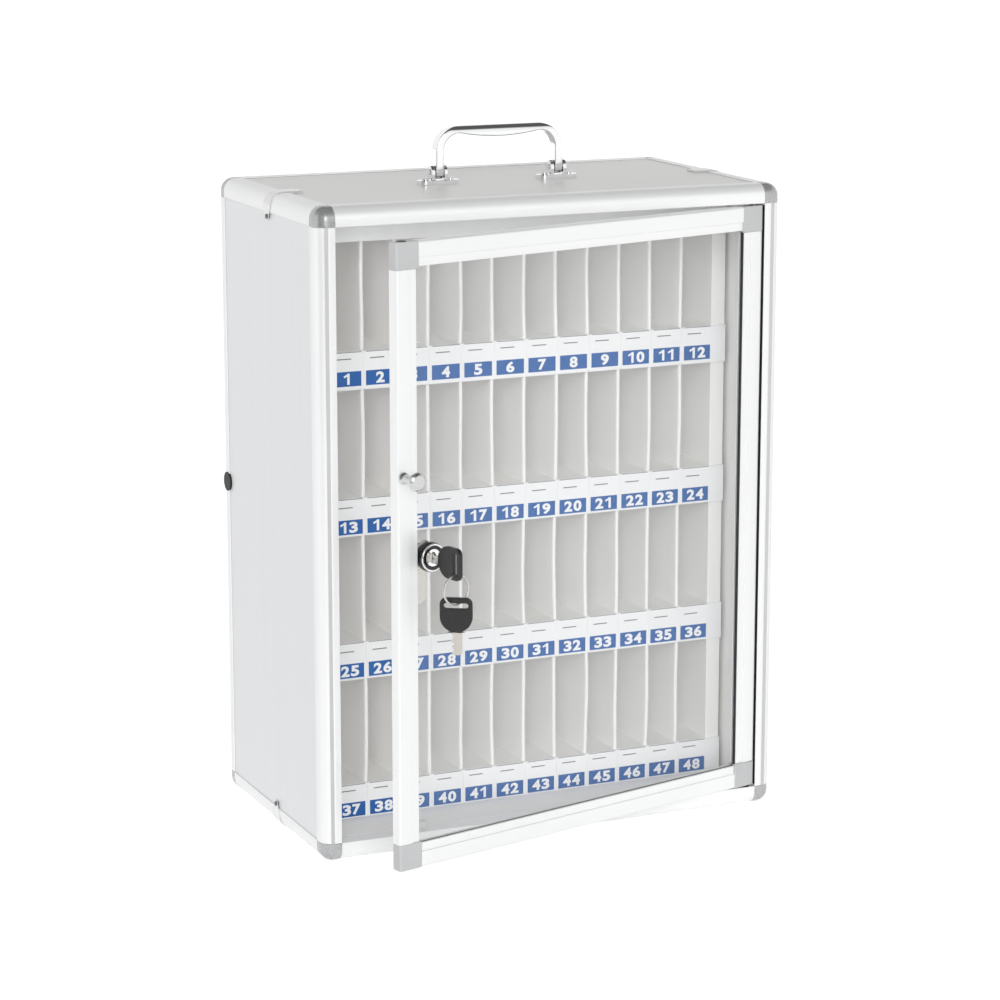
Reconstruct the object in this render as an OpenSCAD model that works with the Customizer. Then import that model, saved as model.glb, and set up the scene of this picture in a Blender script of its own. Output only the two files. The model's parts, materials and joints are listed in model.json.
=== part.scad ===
// Cell phone locker box: an aluminium-edged case with a framed clear door, a folding handle and a rack
// of numbered slots. Millimetres. +Z is up, the front faces -Y, and the origin is on the surface that
// the case stands on, below the middle of the case.

/* [Case] */
// Width of the case
case_w = 385; // [370:5:400]
// Depth of the case, without the handle
case_d = 220; // [200:5:240]
// Height of the case, without the handle
case_h = 500; // [490:5:510]
// Width of an edge profile's face
edge_w = 15; // [15:0.5:16]
// Outer radius of the rounded edges
edge_r = 10; // [8:0.5:10]
// Thickness of the case panels
panel_t = 5; // [4:0.5:5]

/* [Rack] */
// Number of slots in a row
columns = 12; // [6:1:12]
// Distance from one slot to the next
column_pitch = 27; // [25:0.5:27]
// Distance from one shelf to the next
row_pitch = 113.5; // [110:0.5:114]
// Height of the top of the lowest shelf
shelf_low = 42; // [40:1:44]
// Thickness of shelves, dividers and the rack back
board_t = 3; // [2:0.5:4]
// Height of a label strip
strip_h = 29.5; // [27:0.5:32]
// How far the labels stand behind the front of the case
label_setback = 55; // [50:1:65]

/* [Door] */
// How far the door stands open, from shut
door_open = 14.2; // [0:0.2:105]
// Gap around the door
door_gap = 1.5; // [1.2:0.1:2]
// Thickness of the door
door_t = 9; // [9:0.5:11]
// Width of the door's stiles and rails
rail_w = 18.5; // [18:0.5:21]
// Thickness of the clear pane
pane_t = 3; // [2:0.5:3]
// Height of the lock's middle above the base
lock_z = 251; // [220:1:280]
// Height of the pull knob's middle above the base
knob_z = 313; // [290:1:330]

/* [Handle] */
// Distance between the handle's legs, middle to middle
leg_spacing = 101; // [90:1:120]
// Height of the handle's top above its pivots
bail_h = 35; // [32:1:45]
// Depth of the handle's bar
bail_d = 11; // [9:0.5:11]

/* [Hidden] */

$fn = 48;

// Case: the panels sit in slots of the edge profiles
lip_t = 1;
slot_w = panel_t + 0.2;
slot_depth = 6;
panel_inset = lip_t + 0.1;
panel_edge = edge_w - slot_depth + 0.3;
core_from = 8;
core_to = edge_w - 1.5;
half_w = case_w / 2;
half_d = case_d / 2;
open_x = half_w - edge_w;
inner_y = half_d - edge_w;

// Shallow channel down the face of the front posts, measured from the outer edge
channel_at = 7.9;
channel_r = 3.4;
channel_depth = 0.8;
front_core_from = 2.6;

// Rack
rack_half = columns * column_pitch / 2;
side_t = 12;
card_t = 0.5;
strip_t = 2;
strip_lip = 0.8;
label_y = -half_d + label_setback;
strip_y = label_y + card_t - 0.1;
rack_front = strip_y + strip_t;
rack_rear = half_d - panel_inset - panel_t - 0.2;
slot_floor = [for (i = [3:-1:0]) shelf_low + i * row_pitch];
header_h = 19;

// Door, in its shut place, turned about the pivots
door_half = open_x - door_gap;
door_low = edge_w + door_gap;
door_high = case_h - edge_w - door_gap;
pivot_x = open_x - 7.5;
pivot_y = -half_d + door_t / 2;
pin_r = 2;
bore_play = 0.05;
corner_w = 20;
front_round = 2;
pane_edge = 13;
pane_front = 3.5;

// Lock, on an axis along Y through the pane
lock_x = -door_half + 30.5;
collar_r = 11;
barrel_r = 8;
plug_r = 5.5;
cam_reach = 38;
cam_at = 15.5;
cam_t = 2;

// Keys
head_len = 26;
head_w = 24;
head_t = 3.2;
blade_len = 17;
blade_w = 8;
blade_t = 2;
ring_r = 11;
wire_r = 0.8;
key_hole_r = 2;
key_hole_half = 9;
key_hole_in = 6;
hang_gap = 0.35;
wire_rest = wire_r + hang_gap;
key_out = 9;
spare_gap = 0.6;
spare_turn = 45;

// Handle
pivot_up = 8.5;
bracket_t = 3.5;
leg_w = 6.5;
ear_t = 3;
ear_r = 5;

// Places a front-left-bottom item at a corner: s gives the signs of x, y and z
module at_corner(s) {
    translate([s[0] * half_w, s[1] * half_d, s[2] > 0 ? case_h : 0])
        mirror([s[0] > 0 ? 1 : 0, 0, 0])
            mirror([0, s[1] > 0 ? 1 : 0, 0])
                mirror([0, 0, s[2] > 0 ? 1 : 0])
                    children();
}

// Square with one rounded corner at the origin: the outside of every edge
module edge_outline() {
    difference() {
        square(edge_w);
        difference() {
            translate([-1, -1]) square(edge_r + 1);
            translate([edge_r, edge_r]) circle(edge_r);
        }
    }
}

// Slot that holds a panel standing square to the first axis
module panel_slot() {
    translate([lip_t, edge_w - slot_depth]) square([slot_w, slot_depth + 1]);
}

// Edge profile with slots for two panels
module edge_section() {
    difference() {
        edge_outline();
        panel_slot();
        mirror([1, -1]) panel_slot();
        translate([core_from, core_from]) square(core_to - core_from);
    }
}

// Front profile: one panel slot, and its front face lies on the second axis
module front_section() {
    difference() {
        edge_outline();
        panel_slot();
        translate([core_from, front_core_from]) square([core_to - core_from, core_to - front_core_from]);
    }
}

module post_section() {
    difference() {
        front_section();
        translate([channel_at, channel_depth - channel_r]) circle(channel_r);
    }
}

// Lengths of profile, from one corner cap to the other
module upright() {
    translate([0, 0, edge_w]) linear_extrude(case_h - 2 * edge_w) children();
}

module crosswise() {
    rotate(a = 120, v = [1, 1, 1])
        translate([0, 0, edge_w]) linear_extrude(case_w - 2 * edge_w) children();
}

module depthwise() {
    rotate(a = -120, v = [1, 1, 1])
        translate([0, 0, edge_w]) linear_extrude(case_d - 2 * edge_w) children();
}

module profile_colour() {
    color([0.86, 0.87, 0.88]) children();
}

// Front frame
module profile_front_left() {
    profile_colour() at_corner([-1, -1, -1]) upright() post_section();
}

module profile_front_right() {
    profile_colour() at_corner([1, -1, -1]) upright() post_section();
}

// The rails of the front frame hold the bushes that the door turns in
module front_rail(up) {
    profile_colour() difference() {
        at_corner([-1, -1, up]) crosswise() mirror([1, -1]) front_section();
        translate([pivot_x, pivot_y, up > 0 ? case_h : 0])
            mirror([0, 0, up > 0 ? 1 : 0])
                translate([0, 0, edge_w - 6]) cylinder(r = bush_r + bore_play, h = 7);
    }
}

module profile_front_top() {
    front_rail(1);
}

module profile_front_bottom() {
    front_rail(-1);
}

// Rear frame
module profile_rear_left() {
    profile_colour() difference() {
        at_corner([-1, 1, -1]) upright() edge_section();
        port_hole();
    }
}

module profile_rear_right() {
    profile_colour() at_corner([1, 1, -1]) upright() edge_section();
}

module profile_rear_top() {
    profile_colour() at_corner([-1, 1, 1]) crosswise() edge_section();
}

module profile_rear_bottom() {
    profile_colour() at_corner([-1, 1, -1]) crosswise() edge_section();
}

// Side rails
module profile_side_top_left() {
    profile_colour() at_corner([-1, -1, 1]) depthwise() edge_section();
}

module profile_side_top_right() {
    profile_colour() at_corner([1, -1, 1]) depthwise() edge_section();
}

module profile_side_bottom_left() {
    profile_colour() at_corner([-1, -1, -1]) depthwise() edge_section();
}

module profile_side_bottom_right() {
    profile_colour() at_corner([1, -1, -1]) depthwise() edge_section();
}

// Corner cap: a rounded block with tenons that plug into the profiles' cores
tenon_gap = 0.2;
tenon_len = 5;

module rounded_corner() {
    flat = edge_w - edge_r;
    translate([edge_r, edge_r, edge_r]) {
        sphere(edge_r);
        cylinder(r = edge_r, h = flat);
        rotate([0, 90, 0]) cylinder(r = edge_r, h = flat);
        rotate([-90, 0, 0]) cylinder(r = edge_r, h = flat);
    }
    translate([0, edge_r, edge_r]) cube([edge_w, flat, flat]);
    translate([edge_r, 0, edge_r]) cube([flat, edge_w, flat]);
    translate([edge_r, edge_r, 0]) cube([flat, flat, edge_w]);
}

module cap_slot(start) {
    translate(start) cube([
        start[0] == lip_t ? slot_w : edge_w,
        start[1] == lip_t ? slot_w : edge_w,
        start[2] == lip_t ? slot_w : edge_w
    ]);
}

module tenon(start) {
    side = core_to - core_from - 2 * tenon_gap;
    translate(start) cube([
        start[0] == edge_w ? tenon_len : side,
        start[1] == edge_w ? tenon_len : side,
        start[2] == edge_w ? tenon_len : side
    ]);
}

module corner_cap(rear) {
    deep = edge_w - slot_depth;
    in = core_from + tenon_gap;
    difference() {
        intersection() {
            rounded_corner();
            cube(edge_w);
        }
        cap_slot([lip_t, deep, deep]);
        cap_slot([deep, deep, lip_t]);
        if (rear) cap_slot([deep, lip_t, deep]);
    }
    tenon([edge_w, in, in]);
    tenon([in, edge_w, in]);
    tenon([in, in, edge_w]);
}

module corner_caps() {
    color([0.66, 0.67, 0.68])
        for (sx = [-1, 1], sy = [-1, 1], sz = [-1, 1])
            at_corner([sx, sy, sz]) corner_cap(sy > 0);
}

// Panels, held in the profiles' slots
module side_panel() {
    translate([panel_inset, panel_edge, panel_edge])
        cube([panel_t, case_d - 2 * panel_edge, case_h - 2 * panel_edge]);
}

module flat_panel() {
    translate([panel_edge, panel_edge, panel_inset])
        cube([case_w - 2 * panel_edge, case_d - 2 * panel_edge, panel_t]);
}

module panel_left() {
    color([0.91, 0.92, 0.93]) difference() {
        at_corner([-1, -1, -1]) side_panel();
        port_hole();
        rivet_places([-1]) rivet_hole();
    }
}

module panel_right() {
    color([0.91, 0.92, 0.93]) difference() {
        at_corner([1, -1, -1]) side_panel();
        rivet_places([1]) rivet_hole();
    }
}

module panel_top() {
    color([0.85, 0.85, 0.85]) difference() {
        at_corner([-1, -1, 1]) flat_panel();
        screw_places() translate([0, 0, -2 * panel_t]) cylinder(r = screw_r + bore_play, h = 3 * panel_t);
    }
}

// The bottom panel is flush with its profiles, so the case stands on it too
module panel_bottom() {
    color([0.85, 0.85, 0.85]) at_corner([-1, -1, -1]) {
        flat_panel();
        translate([edge_w + lining_gap, edge_w + lining_gap, 0])
            cube([case_w - 2 * edge_w - 2 * lining_gap, case_d - 2 * edge_w - 2 * lining_gap, panel_t]);
    }
}

module panel_back() {
    color([0.91, 0.92, 0.93]) at_corner([-1, 1, -1])
        translate([panel_edge, panel_inset, panel_edge])
            cube([case_w - 2 * panel_edge, panel_t, case_h - 2 * panel_edge]);
}

// Linings, flush with the door opening
lining_gap = 0.2;
pocket_deep = 6;
pocket_down = 24;
pocket_up = 10;

module side_lining() {
    from = panel_inset + panel_t + 0.1;
    translate([from, edge_w + lining_gap, edge_w + lining_gap])
        cube([edge_w - from, case_d - 2 * edge_w - 2 * lining_gap, case_h - 2 * edge_w - 2 * lining_gap]);
}

module flat_lining() {
    from = panel_inset + panel_t + 0.1;
    translate([edge_w + lining_gap, edge_w + lining_gap, from])
        cube([case_w - 2 * edge_w - 2 * lining_gap, case_d - 2 * edge_w - 2 * lining_gap, edge_w - from]);
}

module lining_left() {
    color([0.94, 0.94, 0.93]) difference() {
        at_corner([-1, -1, -1]) side_lining();
        translate([-half_w, -inner_y - 1, lock_z - pocket_down])
            cube([edge_w + 1, pocket_deep + 1, pocket_down + pocket_up]);
    }
}

module lining_right() {
    color([0.94, 0.94, 0.93]) at_corner([1, -1, -1]) side_lining();
}

module lining_top() {
    color([0.94, 0.94, 0.93]) at_corner([-1, -1, 1]) flat_lining();
}

module lining_bottom() {
    color([0.94, 0.94, 0.93]) at_corner([-1, -1, -1]) flat_lining();
}

// Edge clips: bent tongues over the side rails, riveted to the side panels
clip_t = 0.8;
clip_w = 15;
clip_y = -6;
clip_tip_r = 3;
clip_drop = 18;
clip_in = 26;
rivet_r = 1.2;

module clip_places(sides, heights) {
    for (sx = sides, sz = heights)
        at_corner([sx, -1, sz]) translate([0, half_d + clip_y, 0]) children();
}

module rivet_places(sides) {
    clip_places(sides, [-1, 1]) translate([0, 0, clip_drop]) children();
}

module rivet_hole() {
    translate([-2, 0, 0]) rotate([0, 90, 0])
        cylinder(r = rivet_r + bore_play, h = panel_inset + panel_t + 3);
}

module clip_tongue() {
    rotate([90, 0, -90]) linear_extrude(clip_t) {
        polygon([
            [-clip_w / 2, edge_r],
            [clip_w / 2, edge_r],
            [clip_tip_r, clip_drop],
            [-clip_tip_r, clip_drop]
        ]);
        translate([0, clip_drop]) circle(clip_tip_r);
    }
}

module clip_bend() {
    translate([edge_r, 0, edge_r]) rotate([90, 0, 0]) intersection() {
        difference() {
            cylinder(r = edge_r + clip_t, h = clip_w, center = true);
            cylinder(r = edge_r, h = clip_w + 1, center = true);
        }
        translate([-2 * edge_r, -2 * edge_r, -clip_w / 2]) cube([2 * edge_r, 2 * edge_r, clip_w]);
    }
}

module edge_clip(whole) {
    difference() {
        union() {
            clip_tongue();
            clip_bend();
            if (whole) {
                translate([edge_r, -clip_w / 2, -clip_t]) cube([clip_in - edge_r, clip_w, clip_t]);
                translate([edge_w + 0.2, -clip_w / 2, -clip_t])
                    cube([clip_in - edge_w - 0.2, clip_w, clip_t + panel_inset]);
            }
        }
        translate([0, 0, clip_drop]) rivet_hole();
        if (!whole) translate([-edge_w, -clip_w, -edge_w]) cube([2 * edge_w, 2 * clip_w, edge_w + 0.3]);
    }
}

module edge_clips() {
    color([0.82, 0.83, 0.83]) {
        clip_places([-1, 1], [1]) edge_clip(true);
        clip_places([-1, 1], [-1]) edge_clip(false);
    }
}

module clip_rivets() {
    color([0.35, 0.35, 0.36]) rivet_places([-1, 1]) rotate([0, 90, 0]) {
        translate([0, 0, -clip_t - 0.7]) cylinder(r = 1.9, h = 0.7);
        translate([0, 0, -clip_t]) cylinder(r = rivet_r, h = clip_t + panel_inset + panel_t - 0.5);
    }
}

// Plug that closes the port at the rear edge of the left side
port_r = 7;
port_y = 98;
port_z = 257;
port_deep = 5;

module port_hole() {
    translate([-half_w - 1, port_y, port_z]) rotate([0, 90, 0])
        cylinder(r = port_r + bore_play, h = port_deep + 1.1);
}

module side_port_plug() {
    color([0.12, 0.12, 0.12]) translate([-half_w, port_y, port_z]) rotate([0, 90, 0]) {
        cylinder(r = port_r, h = port_deep);
        translate([0, 0, -0.8]) cylinder(r = port_r + 0.6, h = 0.8);
    }
}

// Bushes in the front rails, for the door's pivot pins
bush_r = 3;
bush_len = 5.5;

module bush(up) {
    translate([pivot_x, pivot_y, up > 0 ? case_h - edge_w : edge_w])
        mirror([0, 0, up > 0 ? 0 : 1])
            difference() {
                union() {
                    cylinder(r = bush_r, h = bush_len);
                    translate([0, 0, -0.7]) cylinder(r = bush_r + 1.2, h = 0.7);
                }
                translate([0, 0, -1]) cylinder(r = pin_r + bore_play, h = bush_len + 2);
            }
}

module hinge_bushes() {
    color([0.15, 0.15, 0.15]) {
        bush(1);
        bush(-1);
    }
}

// Stops on the bottom front profile, which the shut door rests against
stop_x = [-110, 110];
stop_w = 12;
stop_h = 5;
stop_gap = 0.2;

module door_stops() {
    from = -half_d + door_t + stop_gap;
    color([0.9, 0.9, 0.9]) for (x = stop_x)
        translate([x - stop_w / 2, from, edge_w]) cube([stop_w, -inner_y - from, stop_h]);
}

// Rack: sides, back, shelves, dividers and the strips across its front
module rack_sides() {
    color([0.95, 0.95, 0.94]) for (s = [0, 1])
        mirror([s, 0, 0]) translate([rack_half, rack_front, edge_w])
            cube([side_t, rack_rear - board_t - rack_front, case_h - 2 * edge_w - lining_gap]);
}

module rack_back() {
    color([0.93, 0.93, 0.92]) translate([-rack_half - side_t, rack_rear - board_t, edge_w])
        cube([2 * (rack_half + side_t), board_t, case_h - 2 * edge_w - lining_gap]);
}

module shelf(row) {
    color([0.95, 0.95, 0.94]) translate([-rack_half, rack_front, slot_floor[row - 1] - board_t])
        cube([2 * rack_half, rack_rear - board_t - rack_front, board_t]);
}

module shelf_1() {
    shelf(1);
}

module shelf_2() {
    shelf(2);
}

module shelf_3() {
    shelf(3);
}

module shelf_4() {
    shelf(4);
}

// A divider stands on its shelf and has a rounded front edge
module divider(height) {
    linear_extrude(height) {
        translate([-board_t / 2, rack_front + board_t / 2])
            square([board_t, rack_rear - board_t - rack_front - board_t / 2]);
        translate([0, rack_front + board_t / 2]) circle(board_t / 2);
    }
}

module dividers(row) {
    top = row == 1 ? case_h - edge_w - lining_gap : slot_floor[row - 2] - board_t;
    color([0.96, 0.96, 0.95]) for (i = [1:columns - 1])
        translate([i * column_pitch - rack_half, 0, slot_floor[row - 1]]) divider(top - slot_floor[row - 1]);
}

module dividers_row_1() {
    dividers(1);
}

module dividers_row_2() {
    dividers(2);
}

module dividers_row_3() {
    dividers(3);
}

module dividers_row_4() {
    dividers(4);
}

module header_strip() {
    color([0.95, 0.95, 0.95])
        translate([-rack_half - side_t, strip_y, case_h - edge_w - lining_gap - header_h])
            cube([2 * (rack_half + side_t), strip_t, header_h]);
}

// The lowest strip is cut shorter, because it stands on the lining
function strip_foot(row) = max(slot_floor[row - 1] - strip_h, edge_w);

module label_strip(row) {
    foot = strip_foot(row);
    width = 2 * (rack_half + side_t);
    translate([-width / 2, strip_y, foot]) cube([width, strip_t, slot_floor[row - 1] - foot]);
    for (z = [foot, slot_floor[row - 1] - strip_lip])
        translate([-width / 2, strip_y - strip_lip, z]) cube([width, strip_lip, strip_lip]);
}

module label_strips() {
    color([0.96, 0.96, 0.96]) for (row = [1:4]) label_strip(row);
}

// Cards, one in front of each slot, held between the strip's lips
card_gap = 0.6;

module number_cards() {
    color([0.2, 0.45, 0.78]) for (row = [1:4], i = [0:columns - 1]) {
        foot = strip_foot(row) + strip_lip;
        translate([i * column_pitch - rack_half + card_gap / 2, strip_y - card_t, foot])
            cube([column_pitch - card_gap, card_t, slot_floor[row - 1] - strip_lip - foot]);
    }
}

// Handle brackets, with two ears each and a screw in each tab
screw_r = 1.7;
tab_at = 10.5;
tab_r = 6.5;
screw_head_r = 2.8;
screw_head_h = 1.6;
cross_len = 4;
cross_w = 0.8;
bracket_top = case_h - panel_inset + bracket_t;
handle_z = case_h + pivot_up;

module bracket_places() {
    for (s = [-1, 1]) translate([s * leg_spacing / 2, 0, 0]) children();
}

module screw_places() {
    bracket_places() for (s = [-1, 1]) translate([s * tab_at, 0, case_h]) children();
}

module ear() {
    slot_half = leg_w / 2 + 0.5;
    translate([slot_half, 0, handle_z]) rotate([0, 90, 0]) cylinder(r = ear_r, h = ear_t);
    translate([slot_half, -ear_r, bracket_top - 1]) cube([ear_t, 2 * ear_r, handle_z - bracket_top + 1]);
}

module handle_brackets() {
    color([0.75, 0.75, 0.76]) difference() {
        bracket_places() {
            translate([0, 0, bracket_top - bracket_t]) linear_extrude(bracket_t) {
                square([2 * tab_at, 2 * tab_r], center = true);
                for (s = [-1, 1]) translate([s * tab_at, 0]) circle(tab_r);
            }
            for (s = [0, 1]) mirror([s, 0, 0]) ear();
        }
        screw_places() translate([0, 0, -5]) cylinder(r = screw_r + bore_play, h = 15);
        bracket_places() translate([0, 0, handle_z]) rotate([0, 90, 0])
            cylinder(r = pin_r + 0.02, h = 40, center = true);
    }
}

module handle_screws() {
    color([0.7, 0.7, 0.72]) screw_places() {
        translate([0, 0, bracket_top - case_h]) difference() {
            cylinder(r = screw_head_r, h = screw_head_h);
            for (a = [0, 90]) rotate([0, 0, a])
                translate([-cross_len / 2, -cross_w / 2, screw_head_h / 2])
                    cube([cross_len, cross_w, screw_head_h]);
        }
        translate([0, 0, -panel_inset - panel_t]) cylinder(r = screw_r, h = panel_t + bracket_t);
    }
}

module handle_pins() {
    reach = leg_w / 2 + 0.5 + ear_t + 0.6;
    color([0.7, 0.7, 0.72]) bracket_places()
        translate([0, 0, handle_z]) rotate([0, 90, 0]) cylinder(r = pin_r, h = 2 * reach, center = true);
}

// Bail: legs, rounded shoulders, and a grip that is thicker in the middle
shoulder_r = 20;
grip_end = 5.5;
grip_mid = 9;
bail_round = 5;
bail_half = (leg_spacing + leg_w) / 2;

module arch(half, top, r) {
    translate([-half, -bail_d]) square([2 * half, bail_d + top - r]);
    translate([-half + r, 0]) square([2 * (half - r), top]);
    for (s = [-1, 1]) translate([s * (half - r), top - r]) circle(r);
}

module bail_front() {
    grip_half = bail_half - shoulder_r;
    sag = grip_mid - grip_end;
    sag_r = (grip_half * grip_half + sag * sag) / (2 * sag);
    difference() {
        arch(bail_half, bail_h, shoulder_r);
        translate([0, -1]) arch(bail_half - leg_w, bail_h - grip_end + 1, shoulder_r - leg_w);
    }
    intersection() {
        translate([0, bail_h - grip_mid + sag_r]) circle(sag_r, $fn = 96);
        translate([-grip_half, bail_h - 2 * grip_mid]) square([2 * grip_half, 2 * grip_mid]);
    }
}

module bail_side() {
    circle(bail_d / 2);
    translate([-bail_d / 2, 0]) square([bail_d, bail_h - bail_round]);
    translate([-bail_d / 2 + bail_round, 0]) square([bail_d - 2 * bail_round, bail_h]);
    for (s = [-1, 1]) translate([s * (bail_d / 2 - bail_round), bail_h - bail_round]) circle(bail_round);
}

module handle_bail() {
    color([0.75, 0.75, 0.76]) translate([0, 0, handle_z]) difference() {
        intersection() {
            rotate([90, 0, 0]) linear_extrude(bail_d + 1, center = true) bail_front();
            rotate([90, 0, 90]) linear_extrude(leg_spacing + 2 * leg_w, center = true) bail_side();
        }
        rotate([0, 90, 0]) cylinder(r = pin_r + bore_play, h = leg_spacing + 2 * leg_w, center = true);
    }
}

// Door: everything on it is drawn shut, then turned about the pivots
module on_door() {
    translate([pivot_x, pivot_y, 0]) rotate([0, 0, door_open]) translate([-pivot_x, -pivot_y, 0]) children();
}

// Section of a stile or rail: the first axis runs inwards from the outer edge, the second from the
// front to the back
box_w = 12;
bead_front = 1.2;
bead_back = 7.8;

module rail_section() {
    difference() {
        union() {
            translate([front_round, 0]) square([box_w - front_round, door_t]);
            translate([0, front_round]) square([box_w, door_t - front_round]);
            translate([front_round, front_round]) circle(front_round);
            translate([box_w - 1, bead_front]) square([rail_w - box_w + 1, bead_back - bead_front]);
        }
        translate([1.5, 1.5]) square([box_w - 3, door_t - 3]);
        translate([pane_edge - 0.2, pane_front - 0.1]) square([rail_w, pane_t + 0.2]);
    }
}

module stile(side) {
    on_door() mirror([side, 0, 0]) translate([-door_half, -half_d, door_low + corner_w])
        linear_extrude(door_high - door_low - 2 * corner_w) rail_section();
}

module door_latch_stile() {
    profile_colour() stile(0);
}

module door_hinge_stile() {
    profile_colour() stile(1);
}

module rail(up) {
    on_door() translate([-door_half + corner_w, -half_d, up > 0 ? door_high : door_low])
        mirror([0, 0, up > 0 ? 1 : 0]) rotate(a = 120, v = [1, 1, 1])
            linear_extrude(2 * (door_half - corner_w)) mirror([1, -1]) rail_section();
}

module door_top_rail() {
    profile_colour() rail(1);
}

module door_bottom_rail() {
    profile_colour() rail(-1);
}

// Corner piece: joins a stile and a rail, holds the pane's corner, and on the hinge side a pivot pin
module door_corner() {
    difference() {
        translate([0, -0.3, 0]) {
            translate([front_round, 0, 0]) cube([corner_w - front_round, door_t + 0.3, corner_w]);
            translate([0, front_round, 0]) cube([corner_w, door_t + 0.3 - front_round, corner_w]);
            translate([front_round, front_round, 0]) cylinder(r = front_round, h = corner_w);
        }
        translate([pane_edge - 0.2, pane_front - 0.1, pane_edge - 0.2])
            cube([corner_w, pane_t + 0.2, corner_w]);
    }
    translate([3, 3, corner_w]) cube([box_w - 6, door_t - 6, 8]);
    translate([corner_w, 3, 3]) cube([8, door_t - 6, box_w - 6]);
}

pin_in_door = 12;
pin_in_rail = 4.5;

module door_corners() {
    color([0.66, 0.67, 0.68]) on_door() difference() {
        for (sx = [0, 1], sz = [0, 1])
            mirror([sx, 0, 0])
                translate([-door_half, -half_d, sz > 0 ? door_high : door_low])
                    mirror([0, 0, sz]) door_corner();
        for (z = [door_low - 1, door_high - pin_in_door])
            translate([pivot_x, pivot_y, z]) cylinder(r = pin_r + 0.02, h = pin_in_door + 1);
    }
}

module door_pane() {
    color([0.85, 0.92, 0.95, 0.3]) on_door() difference() {
        translate([-door_half + pane_edge, -half_d + pane_front, door_low + pane_edge])
            cube([2 * (door_half - pane_edge), pane_t, door_high - door_low - 2 * pane_edge]);
        on_lock_axis() cylinder(r = barrel_r + 0.2, h = 20, center = true);
    }
}

module door_pivot_pins() {
    pin_len = pin_in_door + door_gap + pin_in_rail;
    color([0.5, 0.5, 0.52]) on_door() {
        translate([pivot_x, pivot_y, door_high - pin_in_door]) cylinder(r = pin_r, h = pin_len);
        translate([pivot_x, pivot_y, door_low - door_gap - pin_in_rail]) cylinder(r = pin_r, h = pin_len);
    }
}

// Pull knob on the latch stile, turned about an axis along Y
knob_r = 7;
knob_out = 20;
knob_in = 5;

module door_knob() {
    color([0.7, 0.7, 0.72]) on_door()
        translate([-door_half + knob_in, -half_d, knob_z]) rotate([90, 0, 0]) rotate_extrude()
            polygon([
                [0, 0], [4.5, 0], [4.5, 1.5], [3.2, 3], [3.2, knob_out - 7], [knob_r - 1.5, knob_out - 5.5],
                [knob_r, knob_out - 4], [knob_r, knob_out - 2], [knob_r - 2, knob_out - 0.5], [0, knob_out]
            ]);
}

// Lock: drawn along its own axis, with distances measured backwards from the door's front face
module on_lock_axis() {
    translate([lock_x, -half_d, lock_z]) rotate([-90, 0, 0]) children();
}

collar_out = 2;
flange_r = 6.5;
flange_t = 1;
barrel_end = 14.4;

module lock_housing() {
    color([0.08, 0.08, 0.08]) on_door() on_lock_axis() difference() {
        rotate_extrude() polygon([
            [0, -collar_out], [collar_r - 2, -collar_out], [collar_r, -collar_out + 2],
            [collar_r, pane_front], [barrel_r, pane_front], [barrel_r, barrel_end], [0, barrel_end]
        ]);
        translate([0, 0, -collar_out - 1]) cylinder(r = plug_r + bore_play, h = 40);
        translate([0, 0, -collar_out - 1]) cylinder(r = flange_r + 0.1, h = flange_t + 1.1);
    }
}

nut_t = 4;
nut_half = 10;

module lock_nut() {
    color([0.6, 0.6, 0.62]) on_door() on_lock_axis()
        translate([0, 0, pane_front + pane_t]) difference() {
            rotate([0, 0, 30]) cylinder(r = nut_half / cos(30), h = nut_t, $fn = 6);
            translate([0, 0, -1]) cylinder(r = barrel_r + bore_play, h = nut_t + 2);
        }
}

tail_w = 5.6;
tail_end = cam_at + cam_t + 0.1;
tip_r = 6.5;
thread_r = 1.5;

module lock_plug() {
    color([0.7, 0.7, 0.72]) on_door() on_lock_axis() difference() {
        union() {
            translate([0, 0, -collar_out]) cylinder(r = flange_r, h = flange_t);
            translate([0, 0, -collar_out]) cylinder(r = plug_r, h = collar_out + cam_at - 0.1);
            translate([-tail_w / 2, -tail_w / 2, cam_at - 1]) cube([tail_w, tail_w, cam_t + 1]);
        }
        translate([-blade_t / 2 - 0.15, -blade_w / 2 - 0.15, -collar_out - 1])
            cube([blade_t + 0.3, blade_w + 0.3, collar_out + 1 + key_tip + 1.5]);
        cylinder(r = thread_r + bore_play, h = 30);
    }
}

module lock_cam() {
    color([0.7, 0.7, 0.72]) on_door() on_lock_axis() translate([0, 0, cam_at])
        linear_extrude(cam_t) difference() {
            union() {
                circle(8);
                translate([-tip_r, 0]) square([2 * tip_r, cam_reach - tip_r]);
                translate([0, cam_reach - tip_r]) circle(tip_r);
            }
            square(tail_w + 0.2, center = true);
        }
}

module cam_screw() {
    color([0.6, 0.6, 0.62]) on_door() on_lock_axis() {
        translate([0, 0, tail_end]) cylinder(r = 4, h = 1.8);
        translate([0, 0, cam_at - 0.5]) cylinder(r = thread_r, h = tail_end - cam_at + 1);
    }
}

// Key: drawn with its blade pointing down to the origin and its flat sides facing X. The ring goes
// through a long hole across the head.
module key_shape() {
    translate([-blade_t / 2, -blade_w / 2 + 1, 0]) cube([blade_t, blade_w - 2, 2]);
    translate([-blade_t / 2, -blade_w / 2, 1.5]) cube([blade_t, blade_w, blade_len - 1]);
    translate([-head_t / 2, 0, blade_len]) rotate([90, 0, 90]) linear_extrude(head_t) difference() {
        head_outline();
        translate([0, head_len - key_hole_in]) {
            square([2 * (key_hole_half - key_hole_r), 2 * key_hole_r], center = true);
            for (s = [-1, 1]) translate([s * (key_hole_half - key_hole_r), 0]) circle(key_hole_r);
        }
    }
}

head_round = 5;

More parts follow.
